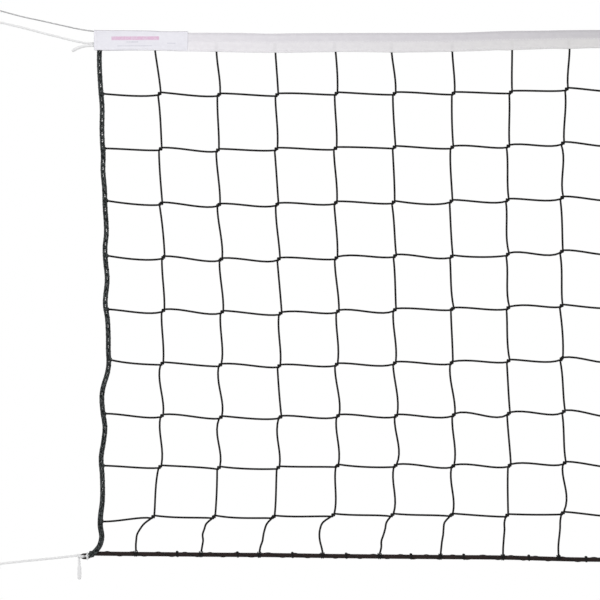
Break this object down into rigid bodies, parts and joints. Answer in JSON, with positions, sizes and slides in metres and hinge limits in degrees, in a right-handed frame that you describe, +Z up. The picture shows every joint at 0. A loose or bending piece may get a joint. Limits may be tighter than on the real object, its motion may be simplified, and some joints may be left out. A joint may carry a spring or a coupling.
{
  "type": "volleyball net",
  "caption": "Full-length court net of knotted black twine under a folded white headband on a steel cable, with roped edges and white tie ropes at its corners.",
  "frame": {"origin": "middle of the thimble's bore in the cable's left eye", "axes": "+X along the net to the right, +Z up, -Y towards the viewer"},
  "size_m": [10.0588, 0.0152, 0.9939],
  "materials": {
    "cable": "stranded galvanised wire rope",
    "thimble": "zinc plated",
    "ferrule": "pressed, dull",
    "headband": "coated woven tape, folded and sewn",
    "end_patch": "smooth woven tape",
    "twine": "twisted black twine",
    "side_rope": "black braided rope",
    "bottom_rope": "black twisted rope",
    "tie_rope": "white braided cord"
  },
  "bodies": {
    "cable": {"top_cable": "cable", "left_thimble": "thimble", "right_thimble": "thimble", "left_ferrule": "ferrule", "right_ferrule": "ferrule"},
    "net": {"headband": "headband", "mesh_top_row": "twine", "mesh_rows": "twine", "mesh_columns": "twine", "mesh_lowest_bars": "twine", "bottom_rope": "bottom_rope", "left_end_patch": "end_patch", "right_end_patch": "end_patch", "left_side_rope": "side_rope", "right_side_rope": "side_rope", "left_corner_lashing": "side_rope", "right_corner_lashing": "side_rope", "left_corner_eye": "bottom_rope", "right_corner_eye": "bottom_rope", "left_band_turn": "tie_rope", "right_band_turn": "tie_rope", "left_band_tie": "tie_rope", "right_band_tie": "tie_rope", "left_band_tail": "tie_rope", "right_band_tail": "tie_rope", "left_band_loop": "tie_rope", "right_band_loop": "tie_rope", "left_corner_hitch": "tie_rope", "right_corner_hitch": "tie_rope", "left_corner_tie": "tie_rope", "right_corner_tie": "tie_rope", "left_corner_tail": "tie_rope", "right_corner_tail": "tie_rope", "left_corner_loop": "tie_rope", "right_corner_loop": "tie_rope"}
  },
  "joints": [
    {"name": "net_swing", "type": "hinge", "parent": "cable", "child": "net", "pos_m": [0.202, 0, -0.049], "axis": [1, 0, 0], "range_deg": [-20, 20]}
  ]
}
